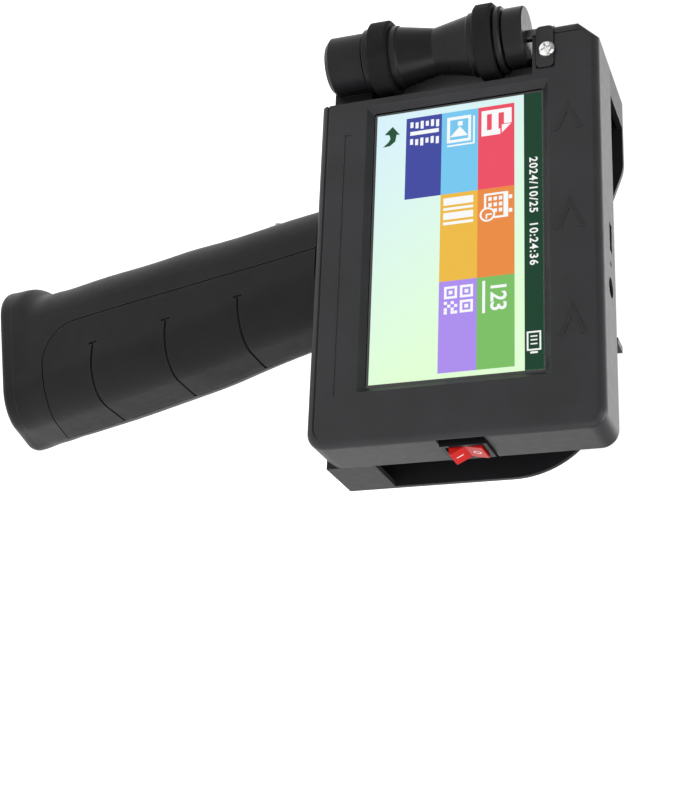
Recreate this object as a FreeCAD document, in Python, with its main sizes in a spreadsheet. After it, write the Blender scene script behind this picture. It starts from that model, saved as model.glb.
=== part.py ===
"""Hand-held date code inkjet printer, as separate solids.

Frame: the origin is the centre of the touch panel's outer face. +X is to the user's right, +Y
points away from the user, into the printer, and +Z is up. The grip hangs below, the print side with its
roller faces -X, and the ink cartridge slides in from +X behind the screen.
"""
import FreeCAD, Part
import Sketcher
import math
import os
import re

V = FreeCAD.Vector

DIMS = {
    # Front housing with the screen: its sides are measured from the middle of the window.
    "print_side": 71.0, "user_side": 68.0, "half_height": 46.7, "wall": 2.2,
    "bezel_depth": 2.5, "gasket": 0.4, "front_back": 17.5, "corner": 5.5, "face_round": 2.6,
    "window_width": 97.0, "window_height": 56.0, "bevel": 2.4, "corner_cut": 6.5,
    "rim_width": 0.7, "rim_inset": 2.3, "rim_depth": 0.5,
    # Screen stack, its -X edge held off the roller's trough.
    "panel_left": 51.4, "panel_right": 53.6, "panel_height": 64.0, "panel_thick": 1.1,
    "lcd_left": 51.4, "lcd_right": 54.0, "lcd_height": 67.2, "lcd_thick": 3.0,
    # Main board.
    "board_y": 12.6, "board_thick": 1.6, "board_left": 50.0, "board_right": 57.0, "board_half": 43.0,
    "post_x_low": 42.0, "post_x_high": 53.6, "post_z": 39.6, "post_radius": 3.0, "screw_core": 1.1,
    # Sockets in the top wall.
    "usb_x": 1.5, "usb_y": 11.0, "jack_x": 19.2, "jack_y": 9.6, "reset_x": 11.0, "reset_y": 10.2,
    # Power rocker in the +X wall.
    "rocker_z": 2.2, "rocker_y": 8.8, "rocker_recess": 2.0, "recess_half": 7.5, "recess_low": -0.5,
    # Roller.
    "roller_x": 69.9, "roller_y": 0.3, "axle_radius": 2.0, "drum_radius": 10.0, "waist_radius": 7.7,
    "tyre_radius": 12.7, "running": 0.06, "trough_x": 69.0, "trough_y": 1.0, "trough_radius": 15.6,
    "trough_wall": 1.6, "trough_top": 25.4, "waist_z": 7.2,
    "tyre_low_start": 28.7, "tyre_low_end": 21.6, "tyre_high_start": 7.2, "tyre_high_end": 13.5,
    "collar_start": 16.6, "collar_end": 23.4, "cover_low": 44.4, "cover_high": 31.2,
    "clamp_low": 26.7, "clamp_high": 32.4, "clamp_x": 61.3, "clamp_start": 55.0,
    # Cartridge guard behind the screen.
    "back": 40.5, "guard_wall": 1.8, "guard_edge": 40.8, "guard_round": 32.0, "shoulder_x": 38.0,
    "shoulder_start": 22.0, "side_return": 16.2, "top_return": 17.0,
    # Print guide: the skid lies level with the tyres.
    "skid": 82.6, "skid_low": 36.0, "skid_high": 22.0, "snout_low": 20.0, "snout_high": 6.0,
    # Ink cartridge.
    "ink_y_low": 18.2, "ink_y_high": 38.0, "ink_z_low": 30.0, "ink_z_high": 37.6,
    "ink_front": 62.0, "ink_back": 6.0, "nozzle_x": 80.4,
    # Grip.
    "grip_y": 18.4, "lean": 20.2, "grip_width": 50.0, "grip_depth": 40.0, "grip_corner": 14.0,
    "grip_wall": 2.4, "parting": 9.0, "foot_length": 165.2, "foot_tilt": 13.1, "foot_pitch": 33.3,
    "panel_skin": 1.2,
    "panel_left_top": 0.6, "panel_left_low": 9.0, "panel_foot": 19.5, "trigger_drop": 26.0,
    "trigger_face": 22.75,
    "trigger_ahead": 2.5, "cap_screw_x": 12.0,
    "cell_radius": 9.2, "cell_length": 65.0, "cell_top": 58.0,
}

doc = FreeCAD.newDocument("date_code_printer")
sheet = doc.addObject("Spreadsheet::Sheet", "Dims")
nodes = []


def fill_sheet():
    """Write each driving size into the sheet, beside its name."""
    for row, (alias, value) in enumerate(DIMS.items(), start=1):
        sheet.set(f"A{row}", alias)
        sheet.set(f"B{row}", str(value))
        sheet.setAlias(f"B{row}", alias)
    doc.recompute()


def linked(text):
    """Turn arithmetic on the sheet's names into an expression that reads the sheet."""
    return re.sub(r"[a-z_]+", lambda hit: "Dims." + hit.group(0) if hit.group(0) in DIMS else hit.group(0),
                  str(text))


def bind(thing, prop, text):
    thing.setExpression(prop, linked(text))


def size(text):
    """The present value in millimetres of arithmetic on the sheet's names."""
    total = FreeCAD.Units.Quantity(re.sub(r"[a-z_]+", lambda hit: repr(float(DIMS[hit.group(0)])),
                                          str(text)))
    return total.Value


def node(thing, label):
    """Name a finished sub-part and keep it for export."""
    thing.Label = label
    nodes.append(thing)
    return thing


# ---------------------------------------------------------------- primitives and booleans

def brick(name, x, y, z):
    """A block between a low and a high expression on each axis."""
    block = doc.addObject("Part::Box", name)
    for axis, side, (low, high) in zip("xyz", ("Length", "Width", "Height"), (x, y, z)):
        bind(block, "Placement.Base." + axis, low)
        bind(block, side, f"({high}) - ({low})")
    return block


def rod(name, x, y, z, radius, tip=None):
    """A cylinder, or a cone when tip is given, along the axis whose place is a low and high pair."""
    place = {"x": x, "y": y, "z": z}
    along = next(axis for axis in "xyz" if isinstance(place[axis], tuple))
    low, high = place[along]
    turned = {"x": (V(0, 1, 0), 90), "y": (V(1, 0, 0), -90), "z": (V(0, 0, 1), 0)}[along]
    round_bar = doc.addObject("Part::Cylinder" if tip is None else "Part::Cone", name)
    round_bar.Placement = FreeCAD.Placement(V(), FreeCAD.Rotation(*turned))
    place[along] = low
    for axis in "xyz":
        bind(round_bar, "Placement.Base." + axis, place[axis])
    bind(round_bar, "Height", f"({high}) - ({low})")
    if tip is None:
        bind(round_bar, "Radius", radius)
    else:
        bind(round_bar, "Radius1", radius)
        bind(round_bar, "Radius2", tip)
    return round_bar


def join(name, *pieces):
    if len(pieces) == 1:
        return pieces[0]
    whole = doc.addObject("Part::MultiFuse", name)
    whole.Shapes = list(pieces)
    whole.Refine = True
    return whole


def cut(name, base, *tools):
    less = doc.addObject("Part::Cut", name)
    less.Base = base
    less.Tool = join(name + "_tools", *tools)
    less.Refine = True
    return less


def overlap(name, *pieces):
    both = doc.addObject("Part::MultiCommon", name)
    both.Shapes = list(pieces)
    return both


def tube(name, x, y, z, outer, inner):
    return cut(name, rod(name + "_outer", x, y, z, outer), rod(name + "_inner", x, y, z, inner))


def rounded_edges(name, base, radius, chosen):
    """Round the edges of a solid that a test picks out."""
    doc.recompute()
    picked = [index for index, edge in enumerate(base.Shape.Edges, start=1) if chosen(edge)]
    smooth = doc.addObject("Part::Fillet", name)
    smooth.Base = base
    smooth.Edges = [(index, radius, radius) for index in picked]
    return smooth


# ---------------------------------------------------------------- sketched bodies

def new_body(name):
    return doc.addObject("PartDesign::Body", name)


def new_sketch(body, name, role, offset="0"):
    """A sketch on one of the body's own origin planes, moved along that plane's normal."""
    drawing = body.newObject("Sketcher::SketchObject", name)
    plane = next(datum for datum in body.Origin.OriginFeatures if datum.Role == role)
    drawing.AttachmentSupport = [(plane, "")]
    drawing.MapMode = "FlatFace"
    bind(drawing, "AttachmentOffset.Base.z", offset)
    return drawing


def fixed(drawing, part, end, across, up):
    """Hold one point of a sketch at two expressions from the sketch's origin."""
    for kind, text, other_axis in (("DistanceX", across, -2), ("DistanceY", up, -1)):
        if abs(size(text)) < 1e-9:
            drawing.addConstraint(Sketcher.Constraint("PointOnObject", part, end, other_axis))
        else:
            index = drawing.addConstraint(Sketcher.Constraint(kind, -1, 1, part, end, size(text)))
            bind(drawing, f"Constraints[{index}]", text)


def outline(drawing, points):
    """A closed outline of straight lines through points, each a pair of expressions."""
    spots = [V(size(across), size(up), 0) for across, up in points]
    for start, finish in zip(spots, spots[1:] + spots[:1]):
        drawing.addGeometry(Part.LineSegment(start, finish), False)
    for part in range(len(points)):
        drawing.addConstraint(Sketcher.Constraint("Coincident", part, 2, (part + 1) % len(points), 1))
    for part, (across, up) in enumerate(points):
        fixed(drawing, part, 1, across, up)


def rounded_rectangle(drawing, left, right, low, high, radius):
    """A rectangle with four round corners, its sides at expressions from the sketch's origin."""
    west, east, south, north, bend = (size(text) for text in (left, right, low, high, radius))
    sides = [(V(west + bend, north), V(east - bend, north)), (V(east, north - bend), V(east, south + bend)),
             (V(east - bend, south), V(west + bend, south)), (V(west, south + bend), V(west, north - bend))]
    centres = [V(east - bend, north - bend), V(east - bend, south + bend),
               V(west + bend, south + bend), V(west + bend, north - bend)]
    for side in sides:
        drawing.addGeometry(Part.LineSegment(*side), False)
    for turn, centre in enumerate(centres):
        start = math.pi / 2 * (4 - turn) % (2 * math.pi)
        circle = Part.Circle(centre, V(0, 0, 1), bend)
        drawing.addGeometry(Part.ArcOfCircle(circle, start, start + math.pi / 2), False)
    for corner in range(4):
        drawing.addConstraint(Sketcher.Constraint("Tangent", corner, 2, 4 + corner, 2))
        drawing.addConstraint(Sketcher.Constraint("Tangent", 4 + corner, 1, (corner + 1) % 4, 1))
    for side, kind in enumerate(("Horizontal", "Vertical", "Horizontal", "Vertical")):
        drawing.addConstraint(Sketcher.Constraint(kind, side))
    for corner in range(1, 4):
        drawing.addConstraint(Sketcher.Constraint("Equal", 4, 4 + corner))
    index = drawing.addConstraint(Sketcher.Constraint("Radius", 4, bend))
    bind(drawing, f"Constraints[{index}]", radius)
    for side, kind, text in ((1, "DistanceX", right), (3, "DistanceX", left),
                             (0, "DistanceY", high), (2, "DistanceY", low)):
        index = drawing.addConstraint(Sketcher.Constraint(kind, -1, 1, side, 1, size(text)))
        bind(drawing, f"Constraints[{index}]", text)


def pad(body, drawing, name, length, reverse=False):
    feature = body.newObject("PartDesign::Pad", name)
    feature.Profile = drawing
    feature.Reversed = reverse
    bind(feature, "Length", length)
    doc.recompute()
    return feature


def turned_body(name, profile):
    """A body of revolution about its own Z axis; profile is pairs of radius and height."""
    body = new_body(name)
    drawing = new_sketch(body, name + "_profile", "XZ_Plane")
    outline(drawing, profile)
    spun = body.newObject("PartDesign::Revolution", name + "_turned")
    spun.Profile = drawing
    spun.ReferenceAxis = (drawing, ["V_Axis"])
    spun.Angle = 360
    return body


def slab(name, left, right, low, high, radius, front, thick):
    """A plate across Y with round corners, its near face at Y = front."""
    body = new_body(name)
    drawing = new_sketch(body, name + "_outline", "XZ_Plane", f"-({front})")
    rounded_rectangle(drawing, left, right, low, high, radius)
    pad(body, drawing, name + "_pad", thick, reverse=True)
    return body


def along_y(edge):
    """True for a straight edge that runs along Y."""
    if len(edge.Vertexes) != 2:
        return False
    run = edge.Vertexes[1].Point - edge.Vertexes[0].Point
    return abs(run.x) < 1e-6 and abs(run.z) < 1e-6 and edge.Curve.TypeId == "Part::GeomLine"


# ---------------------------------------------------------------- front housing and screen

def corner_block(name, front, rear):
    """A block turned by 45 degrees that takes the corner off between the print side and the top."""
    block = brick(name, ("0", "corner_cut * 2.3"), (front, rear), ("0", "corner_cut * 2.3"))
    block.Placement = FreeCAD.Placement(V(), FreeCAD.Rotation(V(0, 1, 0), -45))
    bind(block, "Placement.Base.x", "-print_side - corner_cut * 0.3")
    bind(block, "Placement.Base.z", "half_height - corner_cut * 1.3")
    return block


def housing_block():
    """The outer envelope of the front housing, with its face edge rounded over."""
    block = slab("housing_block", "-print_side", "user_side", "-half_height", "half_height", "corner",
                 "-bezel_depth", "front_back + bezel_depth")
    corner = corner_block("housing_corner", "-bezel_depth - 1", "front_back + 1")
    front = -DIMS["bezel_depth"]
    shaped = cut("housing_shaped", block, corner)

    def on_face(edge):
        box = edge.BoundBox
        return abs(box.YMin - front) < 1e-6 and abs(box.YMax - front) < 1e-6

    return rounded_edges("housing_envelope", shaped, DIMS["face_round"], on_face)


def window_cut():
    """The window through the face, wider at the front by its bevel."""
    body = new_body("window_cut")
    for index, (grow, depth) in enumerate((("0", "0"), ("bevel", "-bezel_depth"))):
        drawing = new_sketch(body, f"window_{index}", "XZ_Plane", f"-({depth})")
        rounded_rectangle(drawing, f"-window_width / 2 - {grow}", f"window_width / 2 + {grow}",
                          f"-window_height / 2 - {grow}", f"window_height / 2 + {grow}", "0.8")
    loft = body.newObject("PartDesign::AdditiveLoft", "window_taper")
    loft.Profile = body.getObject("window_0")
    loft.Sections = [body.getObject("window_1")]
    loft.Ruled = True
    return body


def rim_groove():
    """The fine groove that runs around the face near its edge."""
    grooves = []
    for name, inset in (("rim_outer", "rim_inset"), ("rim_inner", "rim_inset + rim_width")):
        grooves.append(slab(name, f"-print_side + {inset} + 0.9", f"user_side - {inset}",
                            f"-half_height + {inset}",
                            f"half_height - {inset}", f"corner - {inset} + 1", "-bezel_depth - 1",
                            "1 + rim_depth"))
    return cut("rim_groove", *grooves)


def front_housing():
    envelope = housing_block()
    cavity = brick("housing_cavity", ("-print_side + wall", "user_side - wall"), ("-gasket",
                                                                                  "front_back + 1"),
                   ("-half_height + wall", "half_height - wall"))
    trough_back = rod("trough_back", "-trough_x", "-trough_y", ("-half_height", "trough_top"),
                      "trough_radius + trough_wall")
    block = brick("bearing_block", ("-print_side", "-clamp_start + 1.4"), ("-bezel_depth", "9"),
                  ("trough_top - 1.6", "clamp_high + 1.6"))
    pad_behind = brick("rocker_backing", ("user_side - rocker_recess - wall", "user_side"),
                       ("-gasket", "front_back"), ("rocker_z - recess_half - 1.6",
                                                   "rocker_z + recess_half + 1.6"))
    inside = overlap("housing_inside", envelope, join("inside_pieces", trough_back, block, pad_behind))
    posts = [rod(f"board_post_{index}", x, ("-gasket", "board_y"), z, "post_radius")
             for index, (x, z) in enumerate(board_corners())]
    shell = join("housing_shell", cut("housing_hollow", envelope, cavity), inside, *posts)
    trough = rod("trough", "-trough_x", "-trough_y", ("-half_height - 1", "trough_top"), "trough_radius")
    return cut("front_housing", shell, trough, window_cut(), rim_groove(), *housing_holes())


def board_corners():
    return [(x, z) for x in ("-post_x_low", "post_x_high") for z in ("-post_z", "post_z")]


def housing_holes():
    """The openings for the sockets, the rocker, the clamp and the screws."""
    top = ("half_height - wall - 1", "half_height + 1")
    holes = [
        brick("usb_hole", ("usb_x - 4.9", "usb_x + 4.9"), ("usb_y - 1.9", "usb_y + 1.9"), top),
        rod("jack_hole", "jack_x", "jack_y", top, "3.3"),
        rod("reset_hole", "reset_x", "reset_y", top, "0.9"),
        brick("rocker_recess_cut", ("user_side - rocker_recess", "user_side + 1"), ("recess_low",
                                                                                    "front_back + 1"),
              ("rocker_z - recess_half", "rocker_z + recess_half")),
        brick("rocker_hole", ("user_side - rocker_recess - wall - 1", "user_side"),
              ("rocker_y - 5.6", "rocker_y + 5.6"), ("rocker_z - 6.6", "rocker_z + 6.6")),
        brick("clamp_seat", ("-print_side - 1", "-clamp_start"), ("-bezel_depth - 1", "-1.75"),
              ("clamp_low - 0.2", "clamp_high + 0.2")),
        rod("axle_notch", "-roller_x", "roller_y", ("trough_top - 2", "clamp_high + 0.1"),
            "axle_radius + running"),
        brick("axle_way_in", ("-roller_x - axle_radius - running", "-roller_x + axle_radius + running"),
              ("-bezel_depth - 1", "roller_y"), ("trough_top - 2", "clamp_high + 0.1")),
        brick("axle_way_out", ("-print_side - 1", "-roller_x"), ("-bezel_depth - 1", "roller_y"),
              ("trough_top - 2", "clamp_high + 0.1")),
        rod("clamp_screw_hole", "-clamp_x", ("-bezel_depth - 1", "7"), "(clamp_low + clamp_high) / 2 + 0.7",
            "1.1"),
    ]
    for index, (x, z) in enumerate(board_corners()):
        holes.append(rod(f"post_hole_{index}", x, ("3", "board_y + 1"), z, "screw_core"))
    return holes


def screen_stack():
    frame = cut("gasket_frame",
                brick("gasket_outer", ("-panel_left", "panel_right"), ("-gasket", "0"),
                      ("-panel_height / 2", "panel_height / 2")),
                brick("gasket_inner", ("-window_width / 2 - 1", "window_width / 2 + 1"), ("-gasket - 1",
                                                                                          "1"),
                      ("-window_height / 2 - 1", "window_height / 2 + 1")))
    node(frame, "screen_gasket")
    node(slab("touch_panel_body", "-panel_left", "panel_right", "-panel_height / 2", "panel_height / 2",
              "1.5",
              "0", "panel_thick"), "touch_panel")
    node(brick("lcd", ("-lcd_left", "lcd_right"), ("panel_thick", "panel_thick + lcd_thick"),
               ("-lcd_height / 2 + 1.5", "lcd_height / 2 - 1.5")), "lcd_module")
    node(brick("backlight", ("-lcd_left + 1", "lcd_right - 1"),
               ("panel_thick + lcd_thick", "panel_thick + lcd_thick + 1.4"),
               ("-lcd_height / 2 + 3", "lcd_height / 2 - 3")), "lcd_backlight")
    node(brick("ribbon", ("lcd_right", "lcd_right + 0.3"), ("panel_thick + 1", "board_y"), ("-16", "-6.5")),
         "display_ribbon")


# ---------------------------------------------------------------- electronics

def main_board():
    plate = slab("board_plate", "-board_left", "board_right", "-board_half", "board_half", "2",
                 "board_y", "board_thick")
    holes = [rod(f"board_hole_{index}", x, ("board_y - 1", "board_y + board_thick + 1"), z, "1.4")
             for index, (x, z) in enumerate(board_corners())]
    node(cut("board", plate, *holes), "main_board")
    chips = {
        "processor": ((-18, -2), (-12, 4), 1.6), "memory": ((6, 20), (-10, 0), 1.1),
        "flash": ((6, 14), (6, 12), 1.1), "head_driver": ((-40, -28), (-8, 4), 1.6),
        "coil": ((30, 38), (18, 26), 4.0), "ribbon_socket": ((24, 46), (-4, 2), 2.0),
        "head_socket": ((-40, -36), (12, 32), 4.4),
    }
    parts = [brick(name, x, (f"board_y - {tall}", "board_y"), z) for name, (x, z, tall) in chips.items()]
    node(join("chips", *parts), "board_components")
    screws = []
    for index, (x, z) in enumerate(board_corners()):
        head = rod(f"board_screw_head_{index}", x, ("board_y + board_thick", "board_y + board_thick + 1.2"),
                   z, "2.2")
        shank = rod(f"board_screw_shank_{index}", x, ("4", "board_y + board_thick + 0.2"), z, "screw_core")
        screws.append(join(f"board_screw_{index}", head, shank))
    node(join("board_screw_set", *screws), "board_screws")
    holder = cut("holder", brick("holder_block", ("-8", "15"), ("board_y - 3.2", "board_y"), ("-37", "-14")),
                 rod("holder_well", "3.5", ("board_y - 4", "board_y - 0.6"), "-25.5", "10.1"))
    node(holder, "clock_battery_holder")
    node(rod("coin_cell", "3.5", ("board_y - 3.8", "board_y - 0.6"), "-25.5", "10"), "clock_battery")
    node(rod("sounder", "-28", ("board_y - 4.5", "board_y"), "-30", "4.5"), "buzzer")


def sockets():
    shell = cut("usb_shell",
                brick("usb_can", ("usb_x - 4.5", "usb_x + 4.5"), ("usb_y - 1.6", "usb_y + 1.6"), ("38.6",
                                                                                                  "46.2")),
                brick("usb_mouth", ("usb_x - 4.15", "usb_x + 4.15"), ("usb_y - 1.25", "usb_y + 1.25"),
                      ("39.4", "47")))
    tongue = brick("usb_tongue", ("usb_x - 3.3", "usb_x + 3.3"), ("usb_y - 0.35", "usb_y + 0.35"), ("39.2",
                                                                                                    "45.6"))
    node(join("usb_socket", shell, tongue), "usb_port")
    jack = cut("jack_shell",
               join("jack_solid",
                    brick("jack_block", ("jack_x - 4.4", "jack_x + 4.4"), ("jack_y - 3", "board_y"),
                          ("34", "44.2")),
                    rod("jack_nose", "jack_x", "jack_y", ("40", "46.3"), "3")),
               rod("jack_bore", "jack_x", "jack_y", ("36", "47"), "2.75"))
    node(jack, "dc_jack")
    node(rod("jack_pin", "jack_x", "jack_y", ("36", "45"), "1"), "dc_jack_pin")
    base = cut("tact_base", brick("tact_block", ("reset_x - 2.2", "reset_x + 2.2"), ("reset_y - 2.2",
                                                                                     "board_y"),
                                  ("37.5", "41.6")),
               rod("tact_well", "reset_x", "reset_y", ("39.6", "42"), "1.06"))
    node(base, "reset_switch")
    node(rod("tact_plunger", "reset_x", "reset_y", ("40.2", "43.4"), "1"), "reset_button")


def power_rocker():
    """The rocker's housing snaps into the recess; the key tips 8 degrees to each side of the middle."""
    face = "user_side - rocker_recess"
    flange = brick("switch_flange", (face, face + " + 3"), ("rocker_y - 6.2", "rocker_y + 6.2"),
                   ("rocker_z - 7.3", "rocker_z + 7.3"))
    well_block = brick("switch_block", ("user_side - 10.5", face + " + 0.5"), ("rocker_y - 5.5",
                                                                               "rocker_y + 5.5"),
                       ("rocker_z - 6.5", "rocker_z + 6.5"))
    well = brick("switch_well", ("user_side - 7", "user_side + 2"), ("rocker_y - 4.8", "rocker_y + 4.8"),
                 ("rocker_z - 5.9", "rocker_z + 5.9"))
    pivot = rod("switch_pivot", "user_side - 1", ("rocker_y - 5.4", "rocker_y + 5.4"), "rocker_z", "0.8")
    node(join("switch_shell", cut("switch_case", join("switch_solid", flange, well_block), well), pivot),
         "power_switch_case")
    key = new_body("rocker_key")
    drawing = new_sketch(key, "rocker_profile", "XZ_Plane", "-(rocker_y - 4.6)")
    half_throw = math.radians(8)
    corners = []
    for out, along in ((-2.4, -2), (1.4, -5.1), (3.59, -5.1), (1.9, 0), (3.59, 5.1), (1.4, 5.1), (-2.4, 2)):
        across = out * math.cos(half_throw) - along * math.sin(half_throw)
        up = out * math.sin(half_throw) + along * math.cos(half_throw)
        corners.append((f"user_side - 1 + ({across:.3f})", f"rocker_z + ({up:.3f})"))
    outline(drawing, corners)
    pad(key, drawing, "rocker_pad", "9.2", reverse=True)
    node(cut("rocker_bored", key, rod("rocker_bore", "user_side - 1", ("0", "17"), "rocker_z",
                                      "0.8 + running")), "power_rocker")
    blades = [brick(f"blade_{index}", ("user_side - 17", "user_side - 10.5"), ("rocker_y - 1.6",
                                                                               "rocker_y + 1.6"),
                    (f"rocker_z + {height} - 0.4", f"rocker_z + {height} + 0.4"))
              for index, height in enumerate((-4, 4))]
    node(join("blades", *blades), "power_switch_terminals")


# ---------------------------------------------------------------- roller

def roller():
    """Everything on the axle line, from the encoder at the bottom to the clamp at the top."""
    x, y = "-roller_x", "roller_y"
    node(rod("axle", x, y, ("-43", "clamp_high"), "axle_radius"), "roller_axle")
    drum = turned_body("drum", [
        ("axle_radius", "-30.6"), ("drum_radius + 0.9", "-30.6"), ("drum_radius + 0.9", "-tyre_low_start"),
        ("drum_radius", "-tyre_low_start"), ("drum_radius", "-tyre_low_end"),
        ("drum_radius + 0.5", "-tyre_low_end"), ("drum_radius + 0.5", "-19.4"), ("drum_radius", "-18.9"),
        ("waist_radius", "-waist_z"), ("drum_radius", "4.8"), ("drum_radius + 0.5", "5.2"),
        ("drum_radius + 0.5", "tyre_high_start"), ("drum_radius", "tyre_high_start"),
        ("drum_radius", "tyre_high_end"), ("drum_radius - 1", "tyre_high_end"), ("drum_radius - 1", "14.4"),
        ("drum_radius + 1.1", "14.4"), ("drum_radius + 1.1", "15.6"), ("drum_radius + 0.6", "16.1"),
        ("axle_radius", "16.1")])
    on_axle(drum, "roller_drum")
    for name, low, high in (("lower", "-tyre_low_start", "-tyre_low_end"),
                            ("upper", "tyre_high_start", "tyre_high_end")):
        tyre = turned_body(name + "_tyre", [
            ("drum_radius", low), ("tyre_radius - 0.8", low), ("tyre_radius", low + " + 0.7"),
            ("tyre_radius", high + " - 0.7"), ("tyre_radius - 0.8", high), ("drum_radius", high)])
        on_axle(tyre, f"roller_tyre_{name}")
    collar = turned_body("collar", [
        ("axle_radius", "collar_start"), ("drum_radius - 0.4", "collar_start"), ("drum_radius",
                                                                                 "collar_start + 0.4"),
        ("drum_radius", "collar_end - 0.5"), ("drum_radius - 0.4", "collar_end"), ("axle_radius",
                                                                                   "collar_end")])
    on_axle(collar, "roller_end_collar")
    encoder()
    clamp()


def on_axle(body, label):
    bind(body, "Placement.Base.x", "-roller_x")
    bind(body, "Placement.Base.y", "roller_y")
    node(body, label)


def encoder():
    """The fixed cover at the axle's lower end, with the slotted disc and its sensor inside."""
    x, y = "-roller_x", "roller_y"
    shell = turned_body("cover_shell", [
        ("5", "-cover_low"), ("drum_radius - 1.6", "-cover_low"), ("drum_radius", "-cover_low + 1.6"),
        ("drum_radius", "-cover_high"), ("8.6", "-cover_high"), ("8.6", "-cover_low + 2.2"),
        ("5", "-cover_low + 2.2")])
    bind(shell, "Placement.Base.x", x)
    bind(shell, "Placement.Base.y", y)
    foot_block = brick("cover_foot", ("-trough_x - 6", "-trough_x + 13"), (y + " + 4",
                                                                           "trough_radius - trough_y"),
                       ("-cover_low", "-cover_high"))
    foot_round = rod("cover_foot_round", "-trough_x", "-trough_y", ("-cover_low", "-cover_high"),
                     "trough_radius")
    foot = cut("cover_foot_cut", overlap("cover_foot_shape", foot_block, foot_round),
               rod("cover_foot_bore", x, y, ("-cover_low - 1", "-cover_high + 1"), "8.6"))
    node(join("cover", shell, foot), "encoder_cover")
    node(tube("low_bush", x, y, ("-cover_low", "-cover_low + 3.6"), "5", "axle_radius + running"),
         "lower_bush")
    node(tube("code_wheel", x, y, ("-36.4", "-36"), "7.2", "axle_radius"), "encoder_disc")
    eye = cut("eye", brick("eye_block", (x + " - 2.5", x + " + 2.5"), (y + " + 4.6", y + " + 8.2"),
                           ("-39.2", "-33.2")),
              brick("eye_slot", (x + " - 3", x + " + 3"), (y + " + 4", y + " + 7.5"), ("-37.2", "-35.2")))
    node(eye, "encoder_sensor")


def clamp():
    """The strap and its screw that hold the axle in the open notch of the housing."""
    middle = "(clamp_low + clamp_high) / 2 + 0.7"
    strap = slab("strap", "-roller_x - 0.6", "-clamp_start - 0.3", "clamp_low", "clamp_high", "1.6", "-3.1",
                 "1.3")
    node(cut("strap_bored", strap, rod("strap_hole", "-clamp_x", ("-4", "0"), middle, "1.3")), "axle_clamp")
    head = rod("clamp_screw_head", "-clamp_x", ("-4.5", "-3.1"), middle, "2.2", "2.8")
    shank = rod("clamp_screw_shank", "-clamp_x", ("-3.2", "6"), middle, "1.1")
    node(join("clamp_fastener", head, shank), "axle_clamp_screw")


# ---------------------------------------------------------------- cartridge guard and cartridge

def guard_outline(name, front, thick):
    """The guard's outline seen from behind: one large round corner and one high shoulder."""
    body = new_body(name)
    drawing = new_sketch(body, name + "_outline", "XZ_Plane", f"-({front})")
    outline(drawing, [("-print_side", "-half_height"), ("user_side", "-half_height"), ("user_side",
                                                                                       "guard_edge"),
                      ("-shoulder_start", "guard_edge"), ("-shoulder_x", "half_height"),
                      ("-print_side", "half_height")])
    pad(body, drawing, name + "_pad", thick, reverse=True)
    rounding = {"user_side": DIMS["guard_round"], "shoulder_start": 14.0, "shoulder_x": 14.0}
    corners = {"user_side": (DIMS["user_side"], DIMS["guard_edge"]),
               "shoulder_start": (-DIMS["shoulder_start"], DIMS["guard_edge"]),
               "shoulder_x": (-DIMS["shoulder_x"], DIMS["half_height"])}
    smooth = body
    for where, radius in rounding.items():
        smooth = rounded_edges(f"{name}_{where}", smooth, radius, at_corner(*corners[where]))
    return smooth


def at_corner(x, z):
    return lambda edge: (along_y(edge) and abs(edge.Vertexes[0].X - x) < 0.01
                         and abs(edge.Vertexes[0].Z - z) < 0.01)


def rear_guard():
    """The open shell over the cartridge bay: back plate, two full walls and two short returns."""
    plate = guard_outline("guard_plate", "back - guard_wall", "guard_wall")
    depth = ("front_back", "back - 0.5")
    low = ("-half_height", "-half_height + guard_wall")
    walls = [
        brick("guard_low_wall", ("-print_side + 1", "user_side - 0.5"), depth, low),
        brick("guard_print_wall", ("-print_side", "-print_side + guard_wall"), depth, ("-half_height",
                                                                                       "half_height")),
        brick("guard_side_return", ("user_side - guard_wall", "user_side"), depth,
              ("-half_height", "-half_height + side_return")),
        brick("guard_top_return", ("-print_side", "-print_side + top_return"), depth,
              ("half_height - guard_wall", "half_height")),
        brick("guard_rib", ("-ink_front + 20", "ink_back + 30"), ("back - 5", "back - 1"),
              ("-ink_z_low - 3", "-ink_z_low - 1.2")),
    ]
    snout = brick("guard_snout_hole", ("-print_side - 1", "-print_side + guard_wall + 1"),
                  ("ink_y_low - 0.4", "ink_y_high + 0.4"), ("-snout_low", "snout_high"))
    corner = corner_block("guard_corner", "front_back - 1", "back + 1")
    holes = [rod(f"guard_hole_{index}", x, ("back - 4", "back + 1"), z, "1.6")
             for index, (x, z) in enumerate(guard_corners())]
    node(cut("guard", join("guard_solid", plate, *walls), snout, corner, *holes), "rear_guard")
    floor = slab("floor_plate", "-64.5", "user_side - wall - 0.3 - rocker_recess",
                 "-half_height + wall + 0.2",
                 "half_height - wall - 0.2", "3", "front_back - 1.6", "1.6")
    node(floor, "bay_floor")
    posts = [tube(f"guard_post_{index}", x, ("front_back", "back - guard_wall"), z, "3", "1.1")
             for index, (x, z) in enumerate(guard_corners())]
    node(join("guard_posts_set", *posts), "guard_posts")
    screws = []
    for index, (x, z) in enumerate(guard_corners()):
        head = rod(f"guard_screw_head_{index}", x, ("back", "back + 1.2"), z, "2.6")
        shank = rod(f"guard_screw_shank_{index}", x, ("back - 12", "back + 0.1"), z, "1.1")
        screws.append(join(f"guard_screw_{index}", head, shank))
    node(join("guard_screw_set", *screws), "guard_screws")


def guard_corners():
    return [("-62", "-41"), ("60", "-41"), ("-65.5", "41.2")]


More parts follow.
